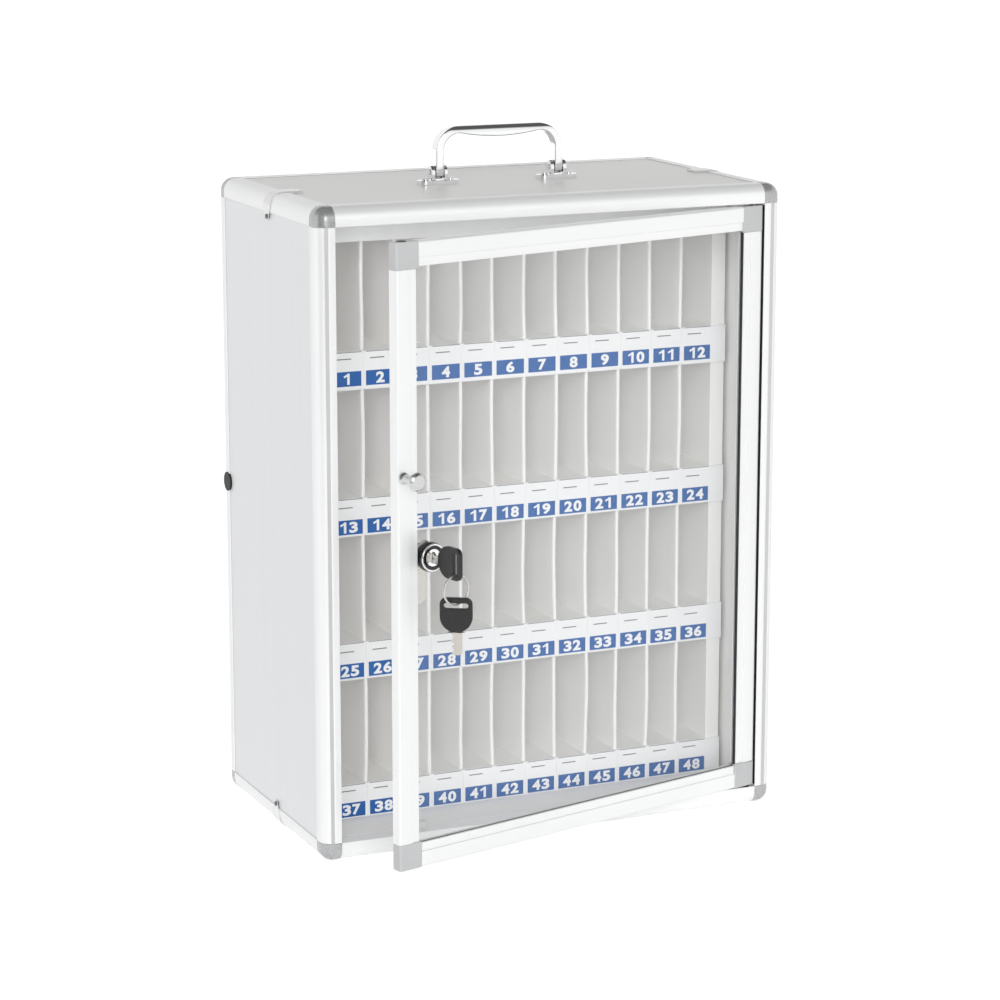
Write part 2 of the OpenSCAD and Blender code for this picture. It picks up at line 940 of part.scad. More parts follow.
module head_outline() {
    translate([0, head_w / 2]) circle(head_w / 2);
    straight = head_len - head_w / 2;
    translate([-head_w / 2, head_w / 2]) square([head_w, straight - head_round]);
    translate([-head_w / 2 + head_round, head_w / 2]) square([head_w - 2 * head_round, straight]);
    for (s = [-1, 1]) translate([s * (head_w / 2 - head_round), head_len - head_round]) circle(head_round);
}

// The ring hangs from the lower end of the first key's hole, and the spare key hangs from the ring
key_tip = blade_len - key_out;
hole_out = key_out + head_len - key_hole_in;
ring_z = wire_rest - key_hole_half - ring_r;
spare_hole_z = ring_z - ring_r + wire_r + spare_gap - key_hole_r;

module key() {
    color([0.1, 0.1, 0.1]) on_door() on_lock_axis() translate([0, 0, key_tip]) mirror([0, 0, 1]) key_shape();
}

module key_ring() {
    color([0.75, 0.75, 0.76]) on_door() translate([lock_x, -half_d - hole_out, lock_z + ring_z])
        rotate([90, 0, 0]) rotate_extrude() translate([ring_r, 0]) circle(wire_r);
}

module spare_key() {
    color([0.1, 0.1, 0.1]) on_door()
        translate([lock_x, -half_d - hole_out, lock_z + spare_hole_z + key_hole_in - head_len - blade_len])
            rotate([0, 0, spare_turn]) key_shape();
}

profile_front_left();
profile_front_right();
profile_front_top();
profile_front_bottom();
profile_rear_left();
profile_rear_right();
profile_rear_top();
profile_rear_bottom();
profile_side_top_left();
profile_side_top_right();
profile_side_bottom_left();
profile_side_bottom_right();
corner_caps();
panel_left();
panel_right();
panel_top();
panel_bottom();
panel_back();
lining_left();
lining_right();
lining_top();
lining_bottom();
edge_clips();
clip_rivets();
side_port_plug();
hinge_bushes();
door_stops();
rack_sides();
rack_back();
shelf_1();
shelf_2();
shelf_3();
shelf_4();
dividers_row_1();
dividers_row_2();
dividers_row_3();
dividers_row_4();
header_strip();
label_strips();
number_cards();
handle_brackets();
handle_screws();
handle_pins();
handle_bail();
door_latch_stile();
door_hinge_stile();
door_top_rail();
door_bottom_rail();
door_corners();
door_pane();
door_pivot_pins();
door_knob();
lock_housing();
lock_nut();
lock_plug();
lock_cam();
cam_screw();
key();
key_ring();
spare_key();
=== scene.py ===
"""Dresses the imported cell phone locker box: eased aluminium profiles and grey corners, white panels, a rack
with numbered labels, a chrome handle and lock, a clear door, and a plain pale studio round it.

Lengths are in metres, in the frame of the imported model: +Z is up, the front faces -Y, and the origin is
below the middle of the case, on the surface that it stands on.
"""

import json
import math
import random

import bpy
from mathutils import Matrix, Vector

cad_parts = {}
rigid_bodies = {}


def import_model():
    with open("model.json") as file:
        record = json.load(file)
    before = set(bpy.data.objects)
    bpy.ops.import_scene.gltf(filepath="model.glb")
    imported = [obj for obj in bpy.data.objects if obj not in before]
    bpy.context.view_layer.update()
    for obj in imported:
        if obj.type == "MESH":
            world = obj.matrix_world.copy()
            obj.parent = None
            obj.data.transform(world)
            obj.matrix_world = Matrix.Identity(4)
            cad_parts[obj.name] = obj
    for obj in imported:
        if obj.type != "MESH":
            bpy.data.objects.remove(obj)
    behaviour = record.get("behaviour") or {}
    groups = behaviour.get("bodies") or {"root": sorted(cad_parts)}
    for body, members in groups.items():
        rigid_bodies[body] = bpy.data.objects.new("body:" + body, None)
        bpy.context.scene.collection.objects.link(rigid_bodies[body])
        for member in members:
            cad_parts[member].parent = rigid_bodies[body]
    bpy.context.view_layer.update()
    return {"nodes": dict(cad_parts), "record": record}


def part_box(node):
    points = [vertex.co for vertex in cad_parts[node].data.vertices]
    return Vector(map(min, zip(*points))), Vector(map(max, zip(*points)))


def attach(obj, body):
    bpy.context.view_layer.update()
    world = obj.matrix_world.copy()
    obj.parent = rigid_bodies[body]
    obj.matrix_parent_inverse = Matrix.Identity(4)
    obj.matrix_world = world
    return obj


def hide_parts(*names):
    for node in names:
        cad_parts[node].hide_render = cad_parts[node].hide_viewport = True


bl_info = {
    "name": "Cell Phone Locker Box",
    "version": (1, 0, 0),
    "blender": (4, 5, 0),
    "location": "3D View > Sidebar > Locker Box",
    "description": "Finishes the pieces of a cell phone locker box and sets up its studio",
    "category": "Object",
}

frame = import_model()
NODES = frame["nodes"]
BODY_OF = {
    node: body
    for body, members in frame["record"]["behaviour"]["bodies"].items()
    for node in members
}

MM = 0.001

# The case, as the CAD source has it
CASE_W, CASE_D = 385 * MM, 220 * MM
EDGE_W = 15 * MM
CASE_FRONT = -CASE_D / 2
CHANNEL_X = CASE_W / 2 - 7.9 * MM
# The front posts' channels hold grey strips of painted shade between these heights
CHANNEL_SHADE_LOW, CHANNEL_SHADE_HIGH = 15 * MM, 485 * MM
POST_INNER = CASE_W / 2 - EDGE_W
COLUMNS, ROWS = 12, 4
PITCH = 27 * MM
RACK_HALF = COLUMNS * PITCH / 2
BOARD_T = 3 * MM
SLOT_FLOORS = [382.5 * MM, 269 * MM, 155.5 * MM, 42 * MM]
STRIP_FEET = [353 * MM, 239.5 * MM, 126 * MM, 15 * MM]
CARD_FRONT = -55.1 * MM
LIP_FRONT = -55.4 * MM
RACK_FRONT = -52.6 * MM
RACK_REAR = 100.7 * MM
# Depth into the rack over which its painted glow rises to full strength
GLOW_DEPTH = 40 * MM
LABEL_RISES = [3.0 * MM, 1.6 * MM, 1.6 * MM, 0.9 * MM]
RIM_HALF = 11.6 * MM
LINE_SHIFT = 2.4 * MM
TYPE_SIZE = 12 * MM
TYPE_THICK = 0.05 * MM

# The door in its shut place, and how far the photo shows it open
DOOR_OPEN = math.radians(14.2)
PIVOT = Vector((170 * MM, -105.5 * MM, 0))
DOOR_FRONT = -110 * MM
DOOR_T = 9 * MM
DOOR_HALF = 176 * MM
DOOR_LOW, DOOR_HIGH = 16.5 * MM, 483.5 * MM
RAIL_W = 18.5 * MM
# Front of the dark strip painted as shade beside the hinge stile, and back of the pane
STILE_SHADE_FRONT, PANE_BACK = 1.8 * MM, 3.5 * MM
SOCKET_R, SOCKET_IN = 3.6 * MM, 8 * MM

# The lock and its keys, in front of the shut door
LOCK_X, LOCK_Z = -145.5 * MM, 251 * MM
COLLAR_OUT = 2 * MM
FACE_RING_R, FACE_RING_THICK = 9.7 * MM, 0.8 * MM
KEY_BLADE, KEY_BLADE_W, KEY_BLADE_T = 17 * MM, 8 * MM, 2 * MM
KEY_CUTS = (0.9, 0.9, 2.2, 2.2, 1.0, 1.0, 2.7, 2.7, 0.6, 0.6, 1.8, 1.8)
FIRST_CUT, CUT_STEP = 1.2 * MM, 1.1 * MM
KEY_OUT = 9 * MM
RING_OUT = 29 * MM
SPARE_TIP = -67.45 * MM
SPARE_TURN = math.radians(45)

# Edges sharper than this angle, in degrees, are eased
EASED_ANGLE = 30

# The studio
CAMERA_PLACE = (-0.9989, -2.2624, 0.7861)
CAMERA_TILT, CAMERA_TURN = math.radians(77.64), math.radians(-23.87)
KEY_FROM = Vector((-0.36, -0.9, 0.25))
KEY_SPREAD = math.radians(40)
CARD_PLACE = Vector((-1.34, -1.34, 0.95))
CARD_SIZE = 1.9
FLOOR_SIZE = 80


# Sizes and colours that a user may change


def length(label, text, default_mm):
    return bpy.props.FloatProperty(
        name=label, description=text, default=default_mm * MM, min=0.0, precision=5, unit="LENGTH"
    )


def colour(label, text, default):
    return bpy.props.FloatVectorProperty(
        name=label, description=text, default=default, min=0.0, max=1.0, size=3, subtype="COLOR"
    )


def share(label, text, default):
    return bpy.props.FloatProperty(
        name=label, description=text, default=default, min=0.0, max=1.0, subtype="FACTOR"
    )


class LockerSizes(bpy.types.PropertyGroup):
    """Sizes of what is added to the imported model."""

    profile_easing: length("Profile Easing", "Rounding of the aluminium profiles' sharp edges", 0.35)
    board_easing: length("Board Easing", "Rounding of the boards' and panels' edges", 0.3)
    corner_easing: length("Corner Easing", "Rounding of the grey corner pieces' edges", 0.7)
    handle_grain: length("Handle Grain", "Size of the cells that the carrying handle is remade from", 0.45)
    handle_softness: bpy.props.IntProperty(
        name="Handle Softness",
        description="How often the carrying handle's surface is evened out",
        default=24,
        min=0,
    )
    small_easing: length("Fitting Easing", "Rounding of screws, clips and other fittings", 0.2)
    block_w: length("Label Width", "Width of a coloured label block", 23.1)
    block_h: length("Label Height", "Height of a coloured label block", 11.4)
    number_h: length("Number Height", "Height of a number on a label", 8.6)
    number_weight: length("Number Weight", "How much a number's strokes are thickened", 0.5)
    digit_w: length("Digit Width", "Width of a digit on a label", 6.9)
    digit_step: length("Digit Step", "Distance from one digit's middle to the next one's", 8.0)
    name_line_w: length("Name Line Width", "Length of the ruled line on a card", 11.8)
    name_line_h: length("Name Line Height", "Thickness of the ruled line on a card", 0.8)
    name_line_up: length("Name Line Distance", "Distance from the label block up to the ruled line", 9.6)
    divider_bow: length("Divider Bow", "How far a divider may bow sideways", 1.1)
    # the strip is painted shade in the post's channel
    inlay_w: length("Post Inlay Width", "Width of the grey strip in a front post's channel", 3.0)
    # Width of the dark strip painted as shade beside the hinge stile
    seal_w: length("Pane Seal Width", "Width of the dark seal beside the hinge stile", 1.3)


class LockerColours(bpy.types.PropertyGroup):
    """Colours of the finishes."""

    aluminium: colour("Aluminium", "Anodised edge profiles", (0.92, 0.925, 0.925))
    side_panel: colour("Side Panels", "White side and back panels", (0.87, 0.88, 0.895))
    # Darker than the side panels' white: painted shade, as the top catches less light
    top_panel: colour("Top Panel", "Pale top and bottom panels", (0.80, 0.80, 0.785))
    corner: colour("Door Corners", "Grey plastic corner pieces of the door", (0.58, 0.585, 0.59))
    cap: colour("Case Corners", "Cast grey corner caps of the case", (0.46, 0.465, 0.47))
    # Grey of the painted shade strips in the front posts' channels
    inlay: colour("Post Inlays", "Grey strips in the channels of the front posts", (0.60, 0.60, 0.60))
    board: colour("Boards", "Linings, rack sides and shelves", (0.95, 0.945, 0.93))
    divider: colour("Dividers", "Upright dividers of the rack", (0.96, 0.955, 0.945))
    card: colour("Cards", "White paper cards", (0.94, 0.945, 0.95))
    label: colour("Labels", "Blue label blocks", (0.014, 0.115, 0.39))
    number: colour("Numbers", "Numbers on the labels", (0.93, 0.94, 0.95))
    # This grey also paints the shadow line along each label strip's top edge
    name_line: colour("Ruled Lines", "Ruled lines on the cards", (0.20, 0.20, 0.21))
    chrome: colour("Chrome", "Handle, knob and plated parts", (0.88, 0.885, 0.89))
    steel: colour("Steel", "Pins, screws and key blades", (0.62, 0.60, 0.56))
    black_gloss: colour("Lock Black", "Lock housing and key heads", (0.012, 0.012, 0.013))
    clip: colour("Clips", "Edge clips on the side rails", (0.72, 0.72, 0.72))
    rivet: colour("Rivets", "Dark rivets of the edge clips", (0.16, 0.16, 0.165))
    stop: colour("Door Stops", "Small stops inside the bottom front profile", (0.74, 0.74, 0.74))
    # This black also paints shade: beside the hinge stile, in the hinge gap and inside the corner socket
    rubber: colour("Rubber", "Plug, bushes and pane seal", (0.015, 0.015, 0.016))
    pane: colour("Pane Tint", "Tint of the clear pane", (0.90, 0.95, 0.97))
    # Strength of the glow painted into the rack's deep shade
    carried: share("Carried Light", "How much light the rack's thin white sheets carry inwards", 0.055)
    pane_veil: share("Pane Veil", "How much the clear pane covers what is behind it", 0.04)


class LockerStudio(bpy.types.PropertyGroup):
    """Light and camera."""

    sky: bpy.props.FloatProperty(
        name="Sky", description="Strength of the light from all round", default=0.93, min=0.0
    )
    ceiling: share("Ceiling", "How bright the sky is overhead, as a share of the horizon", 0.35)
    ceiling_shine: share("Ceiling Shine", "How bright the ceiling looks in bright metal", 0.1)
    key: bpy.props.FloatProperty(
        name="Key Light",
        description="Strength of the soft light from the front left",
        default=1.45,
        min=0.0,
    )
    floor_lift: bpy.props.FloatProperty(
        name="Floor Lift",
        description="How much brighter the floor looks than it is lit",
        default=0.55,
        min=0.0,
    )
    lens: bpy.props.FloatProperty(
        name="Lens", description="Focal length of the camera", default=114.3, min=10.0, unit="CAMERA"
    )


# Finishes


class Finish:
    """A material whose colour, roughness and bump come from noise in object coordinates."""

    def __init__(self, name):
        self.material = bpy.data.materials.new(name)
        self.material.use_nodes = True
        self.nodes = self.material.node_tree.nodes
        self.links = self.material.node_tree.links
        self.shader = self.nodes["Principled BSDF"]
        self.coordinates = self.nodes.new("ShaderNodeTexCoord").outputs["Object"]

    def set(self, **values):
        """Sets the shader's own sockets; an underscore in a name stands for a space."""
        for key, value in values.items():
            self.shader.inputs[key.replace("_", " ")].default_value = value

    def mapped(self, scale=(1, 1, 1), turn=0.0):
        """Object coordinates, turned about Z and then scaled."""
        turned = self.nodes.new("ShaderNodeMapping")
        turned.inputs["Rotation"].default_value = (0, 0, turn)
        self.links.new(self.coordinates, turned.inputs["Vector"])
        scaled = self.nodes.new("ShaderNodeMapping")
        scaled.inputs["Scale"].default_value = scale
        self.links.new(turned.outputs["Vector"], scaled.inputs["Vector"])
        return scaled.outputs["Vector"]

    def noise(self, vector, scale=1.0, detail=2.0, roughness=0.5):
        node = self.nodes.new("ShaderNodeTexNoise")
        node.inputs["Scale"].default_value = scale
        node.inputs["Detail"].default_value = detail
        node.inputs["Roughness"].default_value = roughness
        self.links.new(vector, node.inputs["Vector"])
        return node.outputs["Fac"]

    def ramp(self, value, low, high, from_low=0.3, from_high=0.7):
        """value, taken from the range that noise fills to the range low to high."""
        node = self.nodes.new("ShaderNodeMapRange")
        node.inputs["From Min"].default_value = from_low
        node.inputs["From Max"].default_value = from_high
        node.inputs["To Min"].default_value = low
        node.inputs["To Max"].default_value = high
        self.links.new(value, node.inputs["Value"])
        return node.outputs["Result"]

    def tint(self, value, base, spread):
        """The base colour, lighter and darker by spread as value goes up and down."""
        node = self.nodes.new("ShaderNodeMix")
        node.data_type = "RGBA"
        dark = [max(0.0, c * (1 - spread)) for c in base] + [1.0]
        light = [min(1.0, c * (1 + spread)) for c in base] + [1.0]
        # the colour sockets of a Mix node share their names with the others
        for socket in node.inputs:
            if socket.type == "RGBA":
                socket.default_value = dark if socket.name == "A" else light
        factor = next(s for s in node.inputs if s.name == "Factor" and s.type == "VALUE")
        self.links.new(self.ramp(value, 0.0, 1.0), factor)
        return next(s for s in node.outputs if s.type == "RGBA")

    def colour(self, socket):
        self.links.new(socket, self.shader.inputs["Base Color"])

    def rough(self, value, low, high):
        self.links.new(self.ramp(value, low, high), self.shader.inputs["Roughness"])

    def carry_light(self, socket, strength):
        """Paints a glow into the rack's thin white sheets, standing in for the light that their deep shade
        lacks: none at the front edge, more further in.
        """
        split = self.nodes.new("ShaderNodeSeparateXYZ")
        self.links.new(self.coordinates, split.inputs[0])
        depth = self.ramp(split.outputs["Y"], 0.0, strength, RACK_FRONT, RACK_FRONT + GLOW_DEPTH)
        self.links.new(socket, self.shader.inputs["Emission Color"])
        self.links.new(depth, self.shader.inputs["Emission Strength"])

    def bump(self, height, strength, distance):
        node = self.nodes.new("ShaderNodeBump")
        node.inputs["Strength"].default_value = strength
        node.inputs["Distance"].default_value = distance
        self.links.new(height, node.inputs["Height"])
        self.links.new(node.outputs["Normal"], self.shader.inputs["Normal"])


def brushed(name, base, along, turn=0.0, metallic=0.3, rough=(0.3, 0.42)):
    """Satin metal with fine brushing along one axis: 0 is X, 1 is Y, 2 is Z."""
    finish = Finish(name)
    scale = [2200.0, 2200.0, 2200.0]
    scale[along] = 14.0
    lines = finish.noise(finish.mapped(scale, turn), detail=3.0, roughness=0.6)
    clouds = finish.noise(finish.mapped(), scale=9.0)
    finish.set(Metallic=metallic)
    finish.colour(finish.tint(clouds, base, 0.012))
    finish.rough(lines, *rough)
    finish.bump(lines, 0.12, 0.00004)
    return finish.material


def moulded(name, base, grain=2600.0, rough=(0.42, 0.55), strength=0.12):
    """Grained moulded plastic."""
    finish = Finish(name)
    fine = finish.noise(finish.mapped(), scale=grain, detail=2.0)
    clouds = finish.noise(finish.mapped(), scale=40.0)
    finish.colour(finish.tint(clouds, base, 0.025))
    finish.rough(fine, *rough)
    finish.bump(fine, strength, 0.00006)
    return finish.material


def cast_grey(name, base):
    """Polished grey casting, which mirrors a little of the room."""
    finish = Finish(name)
    flow = finish.noise(finish.mapped(), scale=260.0, detail=3.0)
    finish.set(Metallic=0.55)
    finish.colour(finish.tint(flow, base, 0.03))
    finish.rough(flow, 0.22, 0.32)
    finish.bump(flow, 0.1, 0.00006)
    return finish.material


def coated_panel(name, base, along):
    """Painted sheet with faint rolling marks along one axis and a slight orange peel."""
    finish = Finish(name)
    scale = [160.0, 160.0, 160.0]
    scale[along] = 1.6
    marks = finish.noise(finish.mapped(scale), detail=3.0)
    peel = finish.noise(finish.mapped(), scale=420.0, detail=1.0)
    finish.colour(finish.tint(marks, base, 0.012))
    finish.rough(marks, 0.3, 0.42)
    finish.bump(peel, 0.06, 0.00008)
    return finish.material


def foil_board(name, base, rough=(0.5, 0.62), carried=0.0):
    """Foil-faced board with a faint grain."""
    finish = Finish(name)
    grain = finish.noise(finish.mapped((500.0, 500.0, 60.0)), detail=4.0)
    clouds = finish.noise(finish.mapped(), scale=14.0)
    shade = finish.tint(clouds, base, 0.015)
    finish.colour(shade)
    # a painted glow, standing in for light deep in the rack
    if carried:
        finish.carry_light(shade, carried)
    finish.rough(grain, *rough)
    finish.bump(grain, 0.08, 0.0001)
    return finish.material


def paper(name, base, spread=0.02, rough=(0.45, 0.6)):
    """Paper or print, with fine fibres."""
    finish = Finish(name)
    fibres = finish.noise(finish.mapped((900.0, 900.0, 1500.0)), detail=4.0, roughness=0.65)
    finish.colour(finish.tint(fibres, base, spread))
    finish.rough(fibres, *rough)
    finish.bump(fibres, 0.06, 0.00004)
    return finish.material


def plated(name, base, rough=(0.05, 0.1)):
    """Bright plating with a trace of polishing marks."""
    finish = Finish(name)
    marks = finish.noise(finish.mapped((300.0, 900.0, 900.0)), detail=2.0)
    finish.set(Metallic=1.0)
    finish.colour(finish.tint(marks, base, 0.01))
    finish.rough(marks, *rough)
    return finish.material


def machined(name, base, rough=(0.24, 0.36)):
    """Plain steel with fine turning marks."""
    finish = Finish(name)
    marks = finish.noise(finish.mapped((1800.0, 1800.0, 600.0)), detail=3.0)
    finish.set(Metallic=1.0)
    finish.colour(finish.tint(marks, base, 0.05))
    finish.rough(marks, *rough)
    finish.bump(marks, 0.08, 0.00003)
    return finish.material


def clear_sheet(name, base, veil):
    """Clear sheet that covers a small, even share of what is behind it."""
    finish = Finish(name)
    dust = finish.noise(finish.mapped(), scale=60.0, detail=5.0)
    finish.colour(finish.tint(dust, base, 0.02))
    finish.rough(dust, 0.02, 0.06)
    finish.set(Alpha=veil, IOR=1.49)
    return finish.material


# Modelling helpers


def solo(obj):
    """Selects one object alone and makes it active."""
    bpy.ops.object.select_all(action="DESELECT")
    obj.select_set(True)
    bpy.context.view_layer.objects.active = obj


def apply_modifiers(obj):
    solo(obj)
    for modifier in list(obj.modifiers):
        bpy.ops.object.modifier_apply(modifier=modifier.name)


def smooth(obj, degrees):
    solo(obj)
    bpy.ops.object.shade_smooth_by_angle(angle=math.radians(degrees))


def ease(obj, width, segments=3):
    """Rounds every sharp edge."""
    smooth(obj, EASED_ANGLE)
    bevel = obj.modifiers.new("easing", "BEVEL")
    bevel.width = width
    bevel.segments = segments
    bevel.limit_method = "ANGLE"
    bevel.angle_limit = math.radians(EASED_ANGLE)
    bevel.use_clamp_overlap = False
    bevel.harden_normals = True
    bevel.miter_outer = "MITER_ARC"
    apply_modifiers(obj)


def soften(obj, grain, rounds):
    """Remakes a tapering piece from small cells and evens it out, which rounds its edges softly."""
    remesh = obj.modifiers.new("cells", "REMESH")
    remesh.mode = "VOXEL"
    remesh.voxel_size = grain
    remesh.use_smooth_shade = True
    even = obj.modifiers.new("evening", "SMOOTH")
    even.factor = 0.5
    even.iterations = rounds
    apply_modifiers(obj)


def dress(obj, material, body):
    """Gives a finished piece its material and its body."""
    obj.data.materials.clear()
    obj.data.materials.append(material)
    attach(obj, body)


def merged_copy(node, name):
    """A copy of a CAD node with its triangles merged into faces."""
    piece = bpy.data.objects.new(name, NODES[node].data.copy())
    bpy.context.scene.collection.objects.link(piece)
    solo(piece)
    if piece.data.has_custom_normals:
        bpy.ops.mesh.customdata_custom_splitnormals_clear()
    bpy.ops.object.mode_set(mode="EDIT")
    bpy.ops.mesh.select_all(action="SELECT")
    bpy.ops.mesh.remove_doubles(threshold=0.002 * MM)
    bpy.ops.mesh.dissolve_limited(angle_limit=math.radians(0.4))
    bpy.ops.object.mode_set(mode="OBJECT")
    return piece


def eased_node(node, material, width, segments=3):
    """An eased copy of a CAD node stands for it."""
    piece = merged_copy(node, node + "_eased")
    ease(piece, width, segments)
    dress(piece, material, BODY_OF[node])
    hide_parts(node)


def block(name, low, high):
    """A rectangular blank between two corners, with its place in its mesh."""
    low, high = Vector(low), Vector(high)
    bpy.ops.mesh.primitive_cube_add(size=1, location=(low + high) / 2)
    obj = bpy.context.object
    obj.name = name
    obj.scale = high - low
    bpy.ops.object.transform_apply(location=True, rotation=True, scale=True)
    return obj


def cut(obj, points, normal):
    """Cuts new edge loops through the whole mesh, one at each point."""
    solo(obj)
    bpy.ops.object.mode_set(mode="EDIT")
    for point in points:
        bpy.ops.mesh.select_all(action="SELECT")
        bpy.ops.mesh.bisect(plane_co=point, plane_no=normal)
    bpy.ops.mesh.select_all(action="DESELECT")
    bpy.ops.object.mode_set(mode="OBJECT")


def joined(name, pieces):
    """Joins copies into one piece."""
    bpy.ops.object.select_all(action="DESELECT")
    for piece in pieces:
        piece.select_set(True)
    bpy.context.view_layer.objects.active = pieces[0]
    bpy.ops.object.join()
    whole = bpy.context.object
    whole.name = name
    bpy.ops.object.transform_apply(location=True, rotation=True, scale=True)
    return whole


def on_door():
    """The matrix that takes a piece from the shut door to the door as the photo shows it."""
    return (
        Matrix.Translation(PIVOT)
        @ Matrix.Rotation(DOOR_OPEN, 4, "Z")
        @ Matrix.Translation(-PIVOT)
    )


# Case


class LOCKER_OT_edge_profiles(bpy.types.Operator):
    """Ease the aluminium edge profiles and brush them along their length"""

    bl_idname = "locker.edge_profiles"
    bl_label = "Edge Profiles"

    def execute(self, context):
        sizes, colours = context.scene.locker_sizes, context.scene.locker_colours
        finishes = {
            axis: brushed("aluminium_brushed_" + "xyz"[axis], colours.aluminium, axis) for axis in range(3)
        }
        for node in NODES:
            if not node.startswith("profile_"):
                continue
            low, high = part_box(node)
            spans = high - low
            along = max(range(3), key=lambda axis: spans[axis])
            eased_node(node, finishes[along], sizes.profile_easing)
        self.inlays(sizes, colours)
        return {"FINISHED"}

    def inlays(self, sizes, colours):
        """Painted shade: a grey strip in the channel of each front post, and a dark strip that the door shuts
        beside, in the shade of the gap.
        """
        strips = []
        for side in (-1, 1):
            middle = side * CHANNEL_X
            low = (middle - sizes.inlay_w / 2, CASE_FRONT + 0.45 * MM, CHANNEL_SHADE_LOW)
            high = (middle + sizes.inlay_w / 2, CASE_FRONT + 1.0 * MM, CHANNEL_SHADE_HIGH)
            # each strip is painted shade, lying in the post's channel
            strips.append(block(f"inlay_{side}", low, high))
        whole = joined("post_inlays", strips)
        ease(whole, 0.12 * MM)
        dress(whole, moulded("inlay_plastic", colours.inlay), "case")
        # A dark strip on the right post's inner face: painted shade in the gap beside the door's hinge stile
        low = (POST_INNER - 0.12 * MM, CASE_FRONT + 0.4 * MM, DOOR_LOW)
        high = (POST_INNER + 0.3 * MM, CASE_FRONT + DOOR_T, DOOR_HIGH)
        dark = block("hinge_side_strip", low, high)
        ease(dark, 0.05 * MM)
        dress(dark, moulded("gap_shade_paint", colours.rubber, rough=(0.8, 0.95)), "case")


class LOCKER_OT_corner_caps(bpy.types.Operator):
    """Ease the grey corner caps of the case"""

    bl_idname = "locker.corner_caps"
    bl_label = "Corner Caps"

    def execute(self, context):
        sizes, colours = context.scene.locker_sizes, context.scene.locker_colours
        eased_node("corner_caps", cast_grey("corner_casting", colours.cap), sizes.board_easing)
        return {"FINISHED"}


class LOCKER_OT_panels(bpy.types.Operator):
    """Finish the outer panels and the inner linings"""

    bl_idname = "locker.panels"
    bl_label = "Panels and Linings"

    def execute(self, context):
        sizes, colours = context.scene.locker_sizes, context.scene.locker_colours
        upright = coated_panel("panel_white_coat", colours.side_panel, along=2)
        # the top and bottom panels take the side panels' white darkened: painted shade on the less lit top
        lying = coated_panel("panel_coat_painted_shade", colours.top_panel, along=0)
        lining = foil_board("lining_foil", colours.board)
        for node in ("panel_left", "panel_right", "panel_back"):
            eased_node(node, upright, sizes.board_easing)
        for node in ("panel_top", "panel_bottom"):
            eased_node(node, lying, sizes.board_easing)
        for node in ("lining_left", "lining_right", "lining_top", "lining_bottom"):
            eased_node(node, lining, sizes.board_easing)
        return {"FINISHED"}


class LOCKER_OT_fittings(bpy.types.Operator):
    """Finish the edge clips, rivets, side plug, hinge bushes and door stops"""

    bl_idname = "locker.fittings"
    bl_label = "Case Fittings"

    def execute(self, context):
        sizes, colours = context.scene.locker_sizes, context.scene.locker_colours
        clip = brushed("clip_aluminium", colours.clip, 2, metallic=1.0, rough=(0.24, 0.34))
        rivet = machined("rivet_steel", colours.rivet)
        rubber = moulded("black_rubber", colours.rubber, rough=(0.5, 0.65))
        stop = moulded("stop_plastic", colours.stop)
        eased_node("edge_clips", clip, sizes.small_easing)
        eased_node("clip_rivets", rivet, sizes.small_easing)
        eased_node("side_port_plug", rubber, sizes.small_easing)
        eased_node("hinge_bushes", rubber, sizes.small_easing)
        eased_node("door_stops", stop, sizes.small_easing)
        return {"FINISHED"}


# Rack and labels


def divider_sheet(name, x, foot, top, bow, sway, phase):
    """One divider: a sheet with a rounded front edge that bows a little between shelf and shelf."""
    sheet = block(name, (x - BOARD_T / 2, RACK_FRONT, foot), (x + BOARD_T / 2, RACK_REAR, top))
    solo(sheet)
    bpy.ops.object.mode_set(mode="EDIT")
    bpy.ops.mesh.select_all(action="DESELECT")
    bpy.ops.object.mode_set(mode="OBJECT")
    for edge in sheet.data.edges:
        ends = [sheet.data.vertices[i].co for i in edge.vertices]
        edge.select = all(abs(p.y - RACK_FRONT) < 1e-6 for p in ends) and abs(ends[0].z - ends[1].z) > 0.01
    bpy.ops.object.mode_set(mode="EDIT")
    bpy.ops.mesh.select_mode(type="EDGE")
    bpy.ops.mesh.bevel(offset=BOARD_T * 0.48, segments=5, affect="EDGES")
    bpy.ops.object.mode_set(mode="OBJECT")
    tall = top - foot
    cut(sheet, [(0, 0, foot + tall * k / 12) for k in range(1, 12)], (0, 0, 1))
    cut(sheet, [(0, RACK_FRONT + step * MM, 0) for step in (8, 20, 40, 80)], (0, 1, 0))
    for vertex in sheet.data.vertices:
        rise = (vertex.co.z - foot) / tall
        depth = min(1.0, max(0.0, (vertex.co.y - RACK_FRONT) / (RACK_REAR - RACK_FRONT)))
        ends_held = math.sin(math.pi * rise)
        vertex.co.x += ends_held * (1 - 0.7 * depth) * (bow + sway * math.sin(math.tau * rise + phase))
    smooth(sheet, 50)
    return sheet


